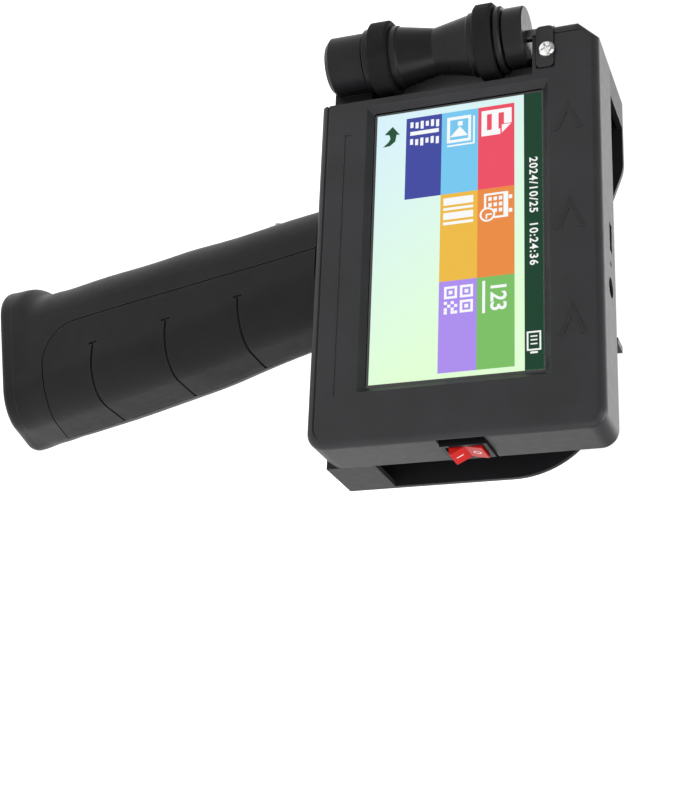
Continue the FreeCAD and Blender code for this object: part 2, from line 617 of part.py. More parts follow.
def print_guide():
    """The skid frame around the nozzle, level with the tyres."""
    block = brick("guide_block", ("-skid", "-print_side"), ("front_back + 0.8", "back - 0.8"),
                  ("-skid_low", "skid_high"))
    edged = rounded_edges("guide_edged", block, 2.5,
                          lambda edge: edge.BoundBox.XMax < -DIMS["skid"] + 0.1
                          and edge.BoundBox.ZLength > 10)
    tunnel = brick("guide_tunnel", ("-skid - 1", "-print_side + 1"), ("ink_y_low - 0.1", "ink_y_high + 0.1"),
                   ("-snout_low + 0.2", "snout_high - 0.2"))
    low_pocket = brick("guide_low_pocket", ("-skid + 2", "-print_side + 1"), ("front_back + 2.8",
                                                                              "back - 2.8"),
                       ("-skid_low + 2", "-snout_low - 2"))
    high_pocket = brick("guide_high_pocket", ("-skid + 2", "-print_side + 1"), ("front_back + 2.8",
                                                                                "back - 2.8"),
                        ("snout_high + 2", "skid_high - 2"))
    node(cut("guide", edged, tunnel, low_pocket, high_pocket), "print_guide")


def cartridge():
    """A common thermal ink cartridge: body, snout, nozzle plate, contacts and cap."""
    middle_y = "(ink_y_low + ink_y_high) / 2"
    body = brick("ink_body", ("-ink_front", "ink_back"), ("ink_y_low + 0.3", "ink_y_high - 0.3"),
                 ("-ink_z_low", "ink_z_high"))
    body = rounded_edges("ink_body_round", body, 2.0, lambda edge: edge.BoundBox.XLength > 20)
    snout = brick("ink_snout", ("-nozzle_x + 0.3", "-ink_front + 1"), ("ink_y_low + 0.8",
                                                                       "ink_y_high - 0.8"),
                  ("-snout_low + 1", "snout_high - 1"))
    node(join("ink_shell", body, snout), "cartridge_body")
    node(brick("ink_nozzles", ("-nozzle_x", "-nozzle_x + 0.3"), (middle_y + " - 4", middle_y + " + 4"),
               ("-waist_z - 7.5", "-waist_z + 7.5")), "nozzle_plate")
    node(brick("ink_flex", ("-ink_front - 12", "-ink_front - 1"), (middle_y + " - 8", middle_y + " + 8"),
               ("-snout_low + 0.7", "-snout_low + 1")), "cartridge_contacts")
    cap = brick("ink_cap_block", ("ink_back", "ink_back + 5"), ("ink_y_low + 0.6", "ink_y_high - 0.6"),
                ("-ink_z_low + 0.5", "ink_z_high - 0.5"))
    grooves = [brick(f"ink_cap_groove_{index}", ("ink_back + 3.8", "ink_back + 6"), ("ink_y_low",
                                                                                     "ink_y_high"),
                     (str(8 + 4 * index), str(9.6 + 4 * index))) for index in range(5)]
    node(cut("ink_cap", cap, *grooves), "cartridge_cap")


def contact_block():
    """The spring contacts that meet the cartridge's contact sheet."""
    y = ("front_back", "ink_y_high - 2.4")
    node(brick("contact_carrier", ("-ink_front - 6.5", "-ink_front - 1.5"), y, ("-snout_low - 9",
                                                                                "-snout_low - 1.6")),
         "contact_block")
    pins = [rod(f"contact_pin_{row}_{column}", f"-ink_front - {3 + 2 * row}",
                f"ink_y_low + {5 + 2.4 * column}",
                ("-snout_low - 1.6", "-snout_low + 0.5"), "0.5") for row in range(2) for column in range(5)]
    node(join("contact_pin_set", *pins), "contact_pins")


def latch():
    """A sprung lever above the cartridge that steadies it; its tip reaches past the guard's edge."""
    y = ("ink_y_low + 1", "ink_y_low + 9")
    arm = brick("latch_arm", ("-14", "33.6"), y, ("ink_z_high + 0.6", "ink_z_high + 2.6"))
    tab = brick("latch_tab", ("31.6", "33.6"), y, ("ink_z_high + 0.6", "half_height"))
    hub = rod("latch_hub", "-14", y, "ink_z_high + 3", "2.4")
    bored = cut("latch_lever", join("latch_solid", arm, tab, hub),
                rod("latch_bore", "-14", ("0", "back"), "ink_z_high + 3", "1.2 + running"))
    node(bored, "cartridge_latch")
    node(rod("latch_pivot", "-14", ("front_back", "ink_y_low + 14"), "ink_z_high + 3", "1.2"), "latch_pin")
    node(tube("latch_coil", "-14", ("ink_y_low + 9.6", "ink_y_low + 13"), "ink_z_high + 3", "2.3", "1.5"),
         "latch_spring")


# ---------------------------------------------------------------- grip

# Height along the grip, then how much wider it is on the print side, on the user's side and in depth.
GRIP_SECTIONS = ((16, -3.9, -6.1, -2.0), (0, -3.4, -5.8, -1.8), (-25, -2.5, -4.2, -1.5), (-45, -1.8, -2.5,
                                                                                          -1.0),
                 (-70, -0.9, -0.6, -0.4), (-92, 0, 0.3, 0), (-112, 0.9, 1.1, 0), (-126, 1.5, 1.4, 0),
                 (-134, 2.0, 1.5, 0), (-139, 3.0, 1.5, 0.1), (-143, 5.3, 1.6, 0.3), (-148, 7.5, 1.6, 0.5),
                 (-154, 8.1, 1.7, 0.6), (-166, 8.1, 1.7, 0.6), (-190, 7.9, 1.5, 0.5))


def grip_loft(name, inset):
    """The grip's smooth form about its own axis, shrunk by an inset on every side."""
    body = new_body(name)
    drawings = []
    for height, wider_left, wider_right, deeper in GRIP_SECTIONS:
        drawing = new_sketch(body, f"{name}_{len(drawings)}", "XY_Plane", str(height))
        deep = f"grip_depth / 2 + {deeper} - {inset}"
        rounded_rectangle(drawing, f"-grip_width / 2 - {wider_left} + {inset}",
                          f"grip_width / 2 + {wider_right} - {inset}", f"-({deep})", deep,
                          f"grip_corner - {inset}")
        drawings.append(drawing)
    loft = body.newObject("PartDesign::AdditiveLoft", name + "_loft")
    loft.Profile = drawings[0]
    loft.Sections = drawings[1:]
    doc.recompute()
    return body


def level_frame():
    """The printer's level directions, seen from the grip's own leaning frame."""
    return FreeCAD.Placement(V(), FreeCAD.Rotation(V(1, 0, 0), -DIMS["lean"]))


def block_in(frame, name, x, z):
    """A block as long as the grip is deep, set in a tilted frame."""
    block = doc.addObject("Part::Box", name)
    block.Length = x[1] - x[0]
    block.Width = 2 * REACH
    block.Height = z[1] - z[0]
    block.Placement = frame.multiply(FreeCAD.Placement(V(x[0], -REACH, z[0]), FreeCAD.Rotation()))
    return block


def level_block(name, x, z):
    """A block that stays level while the grip leans."""
    return block_in(level_frame(), name, x, z)


def foot_frame():
    """The foot's plane: it rises to the user's right and falls away to the back."""
    rise = FreeCAD.Placement(V(0, 0, -DIMS["foot_length"]), FreeCAD.Rotation(V(0, 1, 0), -DIMS["foot_tilt"]))
    return rise.multiply(FreeCAD.Placement(V(), FreeCAD.Rotation(V(1, 0, 0), -DIMS["foot_pitch"])))


def foot_block(name, z):
    """Everything between two heights above the foot's plane."""
    return block_in(foot_frame(), name, WHOLE, z)


def at_foot(name, thing):
    """Set a piece square to the foot's plane."""
    squared = doc.addObject("Part::Compound", name)
    squared.Links = [thing]
    squared.Placement = foot_frame()
    return squared


REACH = 160
WHOLE = (-REACH, REACH)


def in_hand(thing, label):
    """Set a piece of the grip at its lean under the housing, and name it."""
    held = doc.addObject("Part::Compound", "held_" + label)
    held.Links = [thing]
    held.Placement = FreeCAD.Placement(V(0, DIMS["grip_y"], -DIMS["half_height"]),
                                       FreeCAD.Rotation(V(1, 0, 0), DIMS["lean"]))
    node(held, label)


def on_foot(edge, height=0):
    """True for an edge that lies at a height above the foot's plane."""
    to_foot = foot_frame().inverse()
    spots = (edge.Vertexes[0].Point, edge.Vertexes[-1].Point, edge.valueAt(edge.FirstParameter))
    return all(abs(to_foot.multVec(spot).z - height) < 0.05 for spot in spots)


def grip():
    trimmed = cut("grip_trimmed", grip_loft("grip_form", "0"), level_block("grip_top", WHOLE, (0, 60)),
                  foot_block("grip_foot", (-60, 0)))
    outer = rounded_edges("grip_outer", trimmed, 4.5, on_foot)
    hollow = cut("grip_hollow", grip_loft("grip_hollow_form", "grip_wall"),
                 level_block("grip_hollow_top", WHOLE, (-2.6, 60)), foot_block("grip_hollow_foot", (-60, 9)))
    cap_zone = foot_block("cap_zone", (-60, 5.4))
    screw_core = at_foot("cap_screw_core", rod("cap_core", "cap_screw_x", "0", ("4", "14"), "1.5"))
    shell = cut("grip_shell", outer, hollow, cap_zone, screw_core,
                rod("trigger_hole", ("-40", "-14"), "-trigger_ahead", "-trigger_drop", "4.1"))
    core = grip_loft("panel_core", "panel_skin")
    seat = cut("panel_seat", panel_block("seat_zone", 0.45), core)
    front_zone = brick("front_zone", ("-60", "60"), ("-60", "parting"), ("-200", "40"))
    back_zone = brick("back_zone", ("-60", "60"), ("parting", "60"), ("-200", "40"))
    in_hand(cut("grip_front_part", overlap("grip_front_shell", shell, front_zone), seat), "grip_front")
    in_hand(overlap("grip_back_part", shell, back_zone), "grip_back")
    panel = overlap("panel_plain", grip_loft("panel_form", "0"), panel_block("panel_zone", 0))
    in_hand(cut("panel_part", panel, core, level_block("panel_top", WHOLE, (-0.3, 60)), *finger_grooves()),
            "grip_panel")
    end_cap(outer, cap_zone)


def end_cap(outer, zone):
    """The plate that closes the grip's foot, with its sunk screw."""
    hole = rod("cap_hole", "cap_screw_x", "0", ("-1", "6"), "1.7")
    sink = rod("cap_sink", "cap_screw_x", "0", ("-1", "3"), "3.1")
    in_hand(cut("cap_part", overlap("cap_solid", outer, zone), at_foot("cap_drilling", join("cap_holes",
                                                                                            hole, sink))),
            "grip_end_cap")
    head = rod("cap_screw_head", "cap_screw_x", "0", ("1.2", "3"), "2.8")
    shank = rod("cap_screw_shank", "cap_screw_x", "0", ("2.9", "12"), "1.5")
    in_hand(at_foot("cap_screw_set", join("cap_screw_solid", head, shank)), "end_cap_screw")


def panel_block(name, grow):
    """The part of the grip's skin that the panel takes up, open at the top."""
    body = new_body(name + "_body")
    drawing = new_sketch(body, name + "_outline", "XZ_Plane", "60")
    outline(drawing, [(f"-panel_left_top - {grow}", "40"), ("60", "40"), ("60", "-230"),
                      (f"-panel_left_low - {grow}", "-230")])
    pad(body, drawing, name + "_pad", f"60 + parting - 1.5 + {grow}", reverse=True)
    low_edge = DIMS["panel_foot"] - grow
    zone = overlap(name + "_zone", body, foot_block(name + "_above_foot", (low_edge, 300)))

    def lower_left(edge):
        return on_foot(edge, low_edge) and all(corner.X < 0 for corner in edge.Vertexes)

    return rounded_edges(name, zone, 12 + grow, lower_left)


def finger_grooves():
    """Three fine level grooves across the panel, each starting at a short tick."""
    grooves = []
    for index, height in enumerate((-32, -64, -99)):
        core = grip_loft(f"groove_core_{index}", "0.7")
        line = level_block(f"groove_line_{index}", (7, REACH), (height - 0.5, height + 0.5))
        tick = level_block(f"groove_tick_{index}", (6, 7), (height - 2, height + 2))
        grooves.append(cut(f"groove_{index}", join(f"groove_cutter_{index}", line, tick), core))
    return grooves


def trigger():
    """The metal push button on the print side of the grip, its barrel, spring and switch."""
    y = "-trigger_ahead"
    z = "-trigger_drop"
    face = "-trigger_face"
    lip = rod("trigger_lip", (face + " - 0.6", face), y, z, "4.8")
    sleeve = rod("trigger_tube", (face + " - 0.2", face + " + 10.5"), y, z, "4.05")
    bore = rod("trigger_bore", (face + " - 2", face + " + 12"), y, z, "3.4 + running")
    in_hand(cut("trigger_barrel_part", join("trigger_barrel_solid", lip, sleeve), bore), "trigger_barrel")
    cap = rounded_edges("trigger_cap_round", rod("trigger_cap", (face + " - 3.4", face + " + 4.5"), y, z,
                                                 "3.4"),
                        0.9, lambda edge: edge.BoundBox.XMax < -DIMS["trigger_face"] - 3)
    stem = rod("trigger_stem", (face + " + 4", face + " + 10.3"), y, z, "1.3")
    in_hand(join("trigger_plunger", cap, stem), "trigger_button")
    in_hand(tube("trigger_coil", (face + " + 4.5", face + " + 12"), y, z, "2.4", "1.6"), "trigger_spring")
    block = brick("trigger_block", (face + " + 12", face + " + 18.5"), (y + " - 5", y + " + 5"),
                  (z + " - 5", z + " + 5"))
    in_hand(block, "trigger_switch")


def battery():
    """Two cells side by side in a cradle, with their protection board."""
    top = "-cell_top"
    bottom = "-cell_top - cell_length"
    for index, across in enumerate(("-9.6", "9.6"), start=1):
        in_hand(rod(f"cell_{index}", across, "0", (bottom, top), "cell_radius"), f"battery_cell_{index}")
    cradle = cut("cradle_part", brick("cradle_block", ("-19.4", "19.4"), ("-11", "4"), (bottom + " - 2",
                                                                                        top + " + 2")),
                 *[rod(f"cradle_well_{index}", across, "0", (bottom, top), "cell_radius + 0.02")
                   for index, across in enumerate(("-9.6", "9.6"))])
    in_hand(cradle, "battery_cradle")
    in_hand(brick("guard_circuit", ("-14", "14"), ("-12.4", "-11"), ("-cell_top - 42", "-cell_top - 4")),
            "battery_board")


def check_document():
    """Stop if any object failed to build or any sub-part has no sound shape."""
    doc.recompute()
    for thing in doc.Objects:
        if "Invalid" in thing.State or "Error" in thing.State:
            raise RuntimeError(f"{thing.Name} failed: {thing.State}")
    for thing in nodes:
        if thing.Shape.isNull() or not thing.Shape.isValid():
            raise RuntimeError(f"{thing.Label} has no sound shape")


def write_parts():
    os.makedirs("parts", exist_ok=True)
    for thing in nodes:
        thing.Shape.exportStep(f"parts/{thing.Label}.step")
        box = thing.Shape.BoundBox
        print(f"{thing.Label:24s} solids {len(thing.Shape.Solids)} volume {thing.Shape.Volume:9.0f}"
              f"  x {box.XMin:7.1f} {box.XMax:7.1f}  y {box.YMin:7.1f} {box.YMax:7.1f}"
              f"  z {box.ZMin:7.1f} {box.ZMax:7.1f}")


fill_sheet()
node(front_housing(), "front_housing")
screen_stack()
main_board()
sockets()
power_rocker()
roller()
rear_guard()
print_guide()
cartridge()
contact_block()
latch()
grip()
trigger()
battery()
check_document()
write_parts()
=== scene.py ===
"""Looks of the hand-held date code printer: materials, screen picture, marks, screws, stage and lights."""
import math

import bmesh
import bpy
from mathutils import Matrix, Vector


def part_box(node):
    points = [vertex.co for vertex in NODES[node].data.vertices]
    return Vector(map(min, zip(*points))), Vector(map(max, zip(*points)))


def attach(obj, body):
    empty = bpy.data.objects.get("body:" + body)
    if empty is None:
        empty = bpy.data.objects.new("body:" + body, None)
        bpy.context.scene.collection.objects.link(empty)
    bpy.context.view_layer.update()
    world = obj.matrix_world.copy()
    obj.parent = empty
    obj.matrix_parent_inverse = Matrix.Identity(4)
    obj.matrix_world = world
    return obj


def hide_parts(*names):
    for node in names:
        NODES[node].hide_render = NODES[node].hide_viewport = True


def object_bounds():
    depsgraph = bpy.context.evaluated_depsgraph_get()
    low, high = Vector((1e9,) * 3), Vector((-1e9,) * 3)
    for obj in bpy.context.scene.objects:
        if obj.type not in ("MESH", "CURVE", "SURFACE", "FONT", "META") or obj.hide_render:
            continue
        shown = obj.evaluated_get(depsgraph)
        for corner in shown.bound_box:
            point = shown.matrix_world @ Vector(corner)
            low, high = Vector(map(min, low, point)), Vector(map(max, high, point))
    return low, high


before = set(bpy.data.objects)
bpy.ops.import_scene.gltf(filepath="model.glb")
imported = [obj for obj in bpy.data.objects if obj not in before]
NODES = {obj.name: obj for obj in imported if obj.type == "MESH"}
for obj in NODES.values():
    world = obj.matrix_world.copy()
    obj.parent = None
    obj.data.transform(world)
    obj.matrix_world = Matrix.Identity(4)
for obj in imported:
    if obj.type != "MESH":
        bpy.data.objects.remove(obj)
CAD_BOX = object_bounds()

MM = 0.001  # lengths in the shapes below are in millimetres
BEZEL_FACE = -2.5  # y of the front housing's face
SCREEN_LOW, SCREEN_HIGH, SCREEN_HALF = -27.4, 27.9, 47.9  # the lit picture's z limits and half width
PICTURE, PATCH, INK_BACK, INK_FRONT = -0.08, -0.12, -0.1, -0.18  # y of the picture's layers on the glass
KEY_PIVOT = (67.0, 2.2)  # x and z of the power rocker's pivot
KEY_REST = math.radians(8)  # how far the key leans at rest
KEY_MIDDLE, KEY_BEND = 1.9, 1.69 / 5.1  # height of the key's face over the pivot, and the slope of each half
CROSS_TURN, CROSS_STEP = 20, 31  # degrees: the first screw's recess, and the turn to the next screw's


# ---------------------------------------------------------------- materials

def new_material(name):
    """A node material, with its tree and its main shader."""
    mat = bpy.data.materials.new(name)
    mat.use_nodes = True
    return mat, mat.node_tree, mat.node_tree.nodes["Principled BSDF"]


def noise(tree, scale, detail=4.0, roughness=0.6, stretch=None):
    """A noise texture in object space; stretch packs it more tightly along an axis."""
    coords = tree.nodes.new("ShaderNodeTexCoord")
    mapping = tree.nodes.new("ShaderNodeMapping")
    mapping.inputs["Scale"].default_value = stretch or (1, 1, 1)
    texture = tree.nodes.new("ShaderNodeTexNoise")
    texture.inputs["Scale"].default_value = scale
    texture.inputs["Detail"].default_value = detail
    texture.inputs["Roughness"].default_value = roughness
    tree.links.new(coords.outputs["Object"], mapping.inputs["Vector"])
    tree.links.new(mapping.outputs["Vector"], texture.inputs["Vector"])
    return texture.outputs["Fac"]


def remap(tree, value, low, high):
    """Spread a noise value's middle range over low to high."""
    ramp = tree.nodes.new("ShaderNodeMapRange")
    ramp.inputs["From Min"].default_value = 0.3
    ramp.inputs["From Max"].default_value = 0.7
    ramp.inputs["To Min"].default_value = low
    ramp.inputs["To Max"].default_value = high
    tree.links.new(value, ramp.inputs["Value"])
    return ramp.outputs["Result"]


def mixed(tree, factor, first, second):
    """A colour between two, by a factor socket."""
    mix = tree.nodes.new("ShaderNodeMix")
    mix.data_type = "RGBA"
    mix.inputs["A"].default_value = (*first, 1)
    mix.inputs["B"].default_value = (*second, 1)
    tree.links.new(factor, mix.inputs["Factor"])
    return mix.outputs["Result"]


def rounded_normal_and_edge_mask(tree, radius):
    """0 on flat faces, up to 1 along edges: how far a rounded normal leans from the true one. The moulded
    plastics use it as the mask of a painted edge highlight.
    """
    bevel = tree.nodes.new("ShaderNodeBevel")
    bevel.samples = 4
    bevel.inputs["Radius"].default_value = radius
    geometry = tree.nodes.new("ShaderNodeNewGeometry")
    dot = tree.nodes.new("ShaderNodeVectorMath")
    dot.operation = "DOT_PRODUCT"
    tree.links.new(bevel.outputs["Normal"], dot.inputs[0])
    tree.links.new(geometry.outputs["Normal"], dot.inputs[1])
    lean = tree.nodes.new("ShaderNodeMapRange")
    lean.inputs["From Min"].default_value = 0.995
    lean.inputs["From Max"].default_value = 0.8
    tree.links.new(dot.outputs["Value"], lean.inputs["Value"])
    return bevel.outputs["Normal"], lean.outputs["Result"]


def bumped(tree, height, strength, distance, normal):
    """A bumped normal on top of another normal."""
    bump = tree.nodes.new("ShaderNodeBump")
    bump.inputs["Strength"].default_value = strength
    bump.inputs["Distance"].default_value = distance
    tree.links.new(height, bump.inputs["Height"])
    tree.links.new(normal, bump.inputs["Normal"])
    return bump.outputs["Normal"]


def moulded(name, dark, light, rough=(0.44, 0.5), grain=2600, depth=0.00004, strength=0.35, edge=0.00035,
            edge_highlight=(0.11, 0.11, 0.115), specular=0.32):
    """Moulded plastic: fine spark texture, slow colour change, and slightly paler edges from a painted
    highlight.
    """
    mat, tree, shader = new_material(name)
    shader.inputs["Specular IOR Level"].default_value = specular
    rounded, lean = rounded_normal_and_edge_mask(tree, edge)
    base = mixed(tree, remap(tree, noise(tree, 45, 3), 0, 1), dark, light)
    # Painted highlight: the colour along edges is mixed part way toward a paler one, so the edges look lit.
    edge_highlight_mix = tree.nodes.new("ShaderNodeMix")
    edge_highlight_mix.data_type = "RGBA"
    edge_highlight_mix.inputs["B"].default_value = (*edge_highlight, 1)
    edge_highlight_amount = tree.nodes.new("ShaderNodeMath")
    edge_highlight_amount.operation = "MULTIPLY"
    edge_highlight_amount.inputs[1].default_value = 0.45
    tree.links.new(lean, edge_highlight_amount.inputs[0])
    tree.links.new(edge_highlight_amount.outputs[0], edge_highlight_mix.inputs["Factor"])
    tree.links.new(base, edge_highlight_mix.inputs["A"])
    tree.links.new(edge_highlight_mix.outputs["Result"], shader.inputs["Base Color"])
    tree.links.new(remap(tree, noise(tree, 320, 5), *rough), shader.inputs["Roughness"])
    spark = noise(tree, grain, 2, 0.5)
    tree.links.new(bumped(tree, spark, strength, depth, rounded), shader.inputs["Normal"])
    return mat


def turned_metal(name, colour, rough=(0.2, 0.34), stretch=(1, 1, 90), scale=60, strength=0.12):
    """Turned or drawn metal with fine lines round it."""
    mat, tree, shader = new_material(name)
    shader.inputs["Metallic"].default_value = 1.0
    rounded, _ = rounded_normal_and_edge_mask(tree, 0.0002)
    lines = noise(tree, scale, 6, 0.7, stretch)
    shade = tuple(0.78 * part for part in colour)
    tree.links.new(mixed(tree, remap(tree, lines, 0, 1), shade, colour), shader.inputs["Base Color"])
    tree.links.new(remap(tree, lines, *rough), shader.inputs["Roughness"])
    tree.links.new(bumped(tree, lines, strength, 0.00003, rounded), shader.inputs["Normal"])
    return mat


def gloss(name, colour, rough=(0.16, 0.26), coat=0.3, specular=0.35):
    """Smooth plastic or glass with a slight waviness."""
    mat, tree, shader = new_material(name)
    shader.inputs["Specular IOR Level"].default_value = specular
    shader.inputs["Coat Weight"].default_value = coat
    shader.inputs["Coat Roughness"].default_value = 0.12
    rounded, _ = rounded_normal_and_edge_mask(tree, 0.0003)
    shade = tuple(0.82 * part for part in colour)
    tint = mixed(tree, remap(tree, noise(tree, 90, 3), 0, 1), shade, colour)
    tree.links.new(tint, shader.inputs["Base Color"])
    tree.links.new(remap(tree, noise(tree, 500, 4), *rough), shader.inputs["Roughness"])
    tree.links.new(bumped(tree, noise(tree, 900, 3), 0.08, 0.00003, rounded), shader.inputs["Normal"])
    return mat


def lit(name, colour, second=None, strength=0.72):
    """A lit patch of the display under smooth glass; it may fade to a second colour across the screen."""
    mat, tree, shader = new_material(name)
    shader.inputs["Specular IOR Level"].default_value = 0.12
    shader.inputs["Coat Weight"].default_value = 0.06
    shader.inputs["Coat Roughness"].default_value = 0.08
    shader.inputs["Emission Strength"].default_value = strength
    coords = tree.nodes.new("ShaderNodeTexCoord")
    place = tree.nodes.new("ShaderNodeMapping")
    place.inputs["Rotation"].default_value = (0, math.radians(35), 0)
    tree.links.new(coords.outputs["Object"], place.inputs["Vector"])
    split = tree.nodes.new("ShaderNodeSeparateXYZ")
    tree.links.new(place.outputs["Vector"], split.inputs["Vector"])
    fade = tree.nodes.new("ShaderNodeMapRange")
    fade.inputs["From Min"].default_value = -0.046
    fade.inputs["From Max"].default_value = 0.03
    tree.links.new(split.outputs["X"], fade.inputs["Value"])
    tint = mixed(tree, fade.outputs["Result"], colour, second or colour)
    blend = tree.nodes.new("ShaderNodeMix")
    blend.data_type = "RGBA"
    blend.blend_type = "MULTIPLY"
    blend.inputs["Factor"].default_value = 1.0
    blend.inputs["B"].default_value = (0.12, 0.12, 0.12, 1)
    tree.links.new(tint, blend.inputs["A"])
    tree.links.new(blend.outputs["Result"], shader.inputs["Base Color"])
    tree.links.new(tint, shader.inputs["Emission Color"])
    tree.links.new(remap(tree, noise(tree, 1500, 2), 0.2, 0.3), shader.inputs["Roughness"])
    return mat


def paint(node, material):
    """Give a CAD node one material."""
    data = NODES[node].data
    data.materials.clear()
    data.materials.append(material)


HOUSING = moulded("housing_plastic", (0.0135, 0.0135, 0.015), (0.02, 0.02, 0.0225))
GUARD = moulded("guard_plastic", (0.01, 0.01, 0.0115), (0.014, 0.014, 0.0155), specular=0.18)
GRIP = moulded("grip_plastic", (0.0085, 0.0085, 0.0095), (0.0115, 0.0115, 0.0125), rough=(0.42, 0.48),
               specular=0.1)
PANEL = moulded("panel_plastic", (0.0085, 0.0085, 0.0095), (0.0115, 0.0115, 0.0125), rough=(0.46, 0.54),
                grain=3400, specular=0.1)
CONES = moulded("roller_satin", (0.009, 0.009, 0.01), (0.014, 0.014, 0.015), rough=(0.26, 0.36), grain=1600,
                strength=0.12, specular=0.16)
COVER = moulded("cover_satin", (0.009, 0.009, 0.01), (0.014, 0.014, 0.0155), rough=(0.36, 0.46), grain=2200,
                strength=0.2, specular=0.16)
# The tyre's painted edge highlight is a dim grey.
RUBBER = moulded("tyre_rubber", (0.006, 0.006, 0.006), (0.011, 0.011, 0.0115), rough=(0.6, 0.78), grain=1500,
                 depth=0.00007, strength=0.5, edge_highlight=(0.03, 0.03, 0.03), specular=0.14)
FOAM = moulded("gasket_foam", (0.006, 0.006, 0.006), (0.012, 0.012, 0.012), rough=(0.8, 0.95), grain=900,
               depth=0.0001, strength=0.7)
BAY = moulded("bay_plastic", (0.006, 0.006, 0.0065), (0.01, 0.01, 0.011), rough=(0.5, 0.62), specular=0.12)
CHIP = moulded("chip_black", (0.012, 0.012, 0.012), (0.02, 0.02, 0.02), rough=(0.5, 0.65))
STEEL = turned_metal("turned_steel", (0.62, 0.61, 0.58))
SHAFT = turned_metal("blackened_steel", (0.12, 0.12, 0.125), rough=(0.3, 0.42))
BRIGHT = turned_metal("bright_steel", (0.85, 0.85, 0.84), rough=(0.12, 0.2), scale=40, strength=0.05)
GUIDE = turned_metal("guide_steel", (0.5, 0.5, 0.51), rough=(0.28, 0.4), stretch=(1, 90, 1))
PLATE = turned_metal("brushed_plate", (0.42, 0.42, 0.43), rough=(0.34, 0.46), stretch=(90, 1, 1))
BRONZE = turned_metal("bronze", (0.6, 0.4, 0.2), rough=(0.3, 0.45))
GOLD = turned_metal("gold_sheet", (0.8, 0.55, 0.22), rough=(0.2, 0.3), stretch=(1, 40, 1))
BOARD = gloss("solder_mask", (0.01, 0.09, 0.035), rough=(0.28, 0.4))
RED = gloss("rocker_red", (0.5, 0.007, 0.005), rough=(0.3, 0.4), coat=0.0, specular=0.12)
SOCKET = gloss("socket_black", (0.008, 0.008, 0.009), rough=(0.3, 0.42), coat=0.0, specular=0.12)
INK = gloss("cartridge_black", (0.008, 0.008, 0.009), rough=(0.3, 0.42), coat=0.0)
WRAP = gloss("cell_wrap", (0.05, 0.16, 0.32), rough=(0.25, 0.35))
GLASS = gloss("panel_glass", (0.004, 0.004, 0.005), rough=(0.05, 0.09), coat=0.6)
WHITE = gloss("mark_white", (0.88, 0.88, 0.88), rough=(0.4, 0.5), coat=0.0)
FINISHES = {
    HOUSING: ("front_housing", "axle_clamp"),
    GUARD: ("rear_guard", "guard_posts"),
    BAY: ("bay_floor",),
    GRIP: ("grip_front", "grip_back", "grip_end_cap"),
    PANEL: ("grip_panel",),
    CONES: ("roller_drum", "roller_end_collar"),
    COVER: ("encoder_cover", "cartridge_latch"),
    RUBBER: ("roller_tyre_lower", "roller_tyre_upper"),
    FOAM: ("screen_gasket",),
    GLASS: ("touch_panel",),
    CHIP: ("board_components", "clock_battery_holder", "buzzer", "encoder_sensor", "contact_block",
           "trigger_switch", "battery_cradle", "reset_button", "lcd_module"),
    SHAFT: ("roller_axle",),
    STEEL: ("encoder_disc", "latch_pin", "latch_spring", "trigger_barrel", "trigger_spring",
            "board_screws", "usb_port", "dc_jack_pin", "clock_battery", "lcd_backlight", "reset_switch"),
    BRIGHT: ("axle_clamp_screw", "trigger_button", "guard_screws", "end_cap_screw"),
    GUIDE: ("print_guide",),
    BRONZE: ("lower_bush", "power_switch_terminals"),
    GOLD: ("nozzle_plate", "cartridge_contacts", "contact_pins", "display_ribbon"),
    BOARD: ("main_board", "battery_board"),
    RED: ("power_rocker",),
    SOCKET: ("power_switch_case", "dc_jack"),
    INK: ("cartridge_body", "cartridge_cap"),
    WRAP: ("battery_cell_1", "battery_cell_2"),
}
for finish, members in FINISHES.items():
    for member in members:
        paint(member, finish)


# ---------------------------------------------------------------- making pieces

def piece(name, mesh, material, body):
    """A visible object that rides on a body."""
    obj = bpy.data.objects.new(name, mesh)
    bpy.context.scene.collection.objects.link(obj)
    mesh.materials.clear()
    mesh.materials.append(material)
    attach(obj, body)
    return obj


def mesh_from(bm, name):
    """Close a bmesh into a mesh with its faces turned outward."""
    bmesh.ops.recalc_face_normals(bm, faces=bm.faces)
    mesh = bpy.data.meshes.new(name)
    bm.to_mesh(mesh)
    bm.free()
    return mesh


def prism(bm, points, y_back, y_front):
    """A closed plate: points are (x, z) round its outline, in millimetres."""
    back = [bm.verts.new((x * MM, y_back * MM, z * MM)) for x, z in points]
    front = [bm.verts.new((x * MM, y_front * MM, z * MM)) for x, z in points]
    bm.faces.new(back)
    bm.faces.new(list(reversed(front)))
    for index in range(len(points)):
        after = (index + 1) % len(points)
        bm.faces.new((back[index], back[after], front[after], front[index]))


def bar(x0, z0, x1, z1, width):
    """The outline of a straight stroke between two points."""
    along = Vector((x1 - x0, z1 - z0)).normalized() * (width / 2)
    side = Vector((-along.y, along.x))
    return [(x0 - along.x + side.x, z0 - along.y + side.y), (x0 - along.x - side.x, z0 - along.y - side.y),
            (x1 + along.x - side.x, z1 + along.y - side.y), (x1 + along.x + side.x, z1 + along.y + side.y)]


def ring(bm, cx, cz, outer, inner, y_back, y_front, parts=28):
    """A flat ring made of short prisms."""
    for step in range(parts):
        a, b = (2 * math.pi * turn / parts for turn in (step, step + 1))
        prism(bm, [(cx + outer * math.cos(a), cz + outer * math.sin(a)),
                   (cx + outer * math.cos(b), cz + outer * math.sin(b)),
                   (cx + inner * math.cos(b), cz + inner * math.sin(b)),
                   (cx + inner * math.cos(a), cz + inner * math.sin(a))], y_back, y_front)


def plates(name, outlines, y_back, y_front, material):
    """One piece of flat plates, each with an (x, z) outline."""
    bm = bmesh.new()
    for outline in outlines:
        prism(bm, outline, y_back, y_front)
    return piece(name, mesh_from(bm, name), material, "printer")


def rect(x0, z0, x1, z1):
    return [(x0, z0), (x1, z0), (x1, z1), (x0, z1)]


# ---------------------------------------------------------------- screen picture

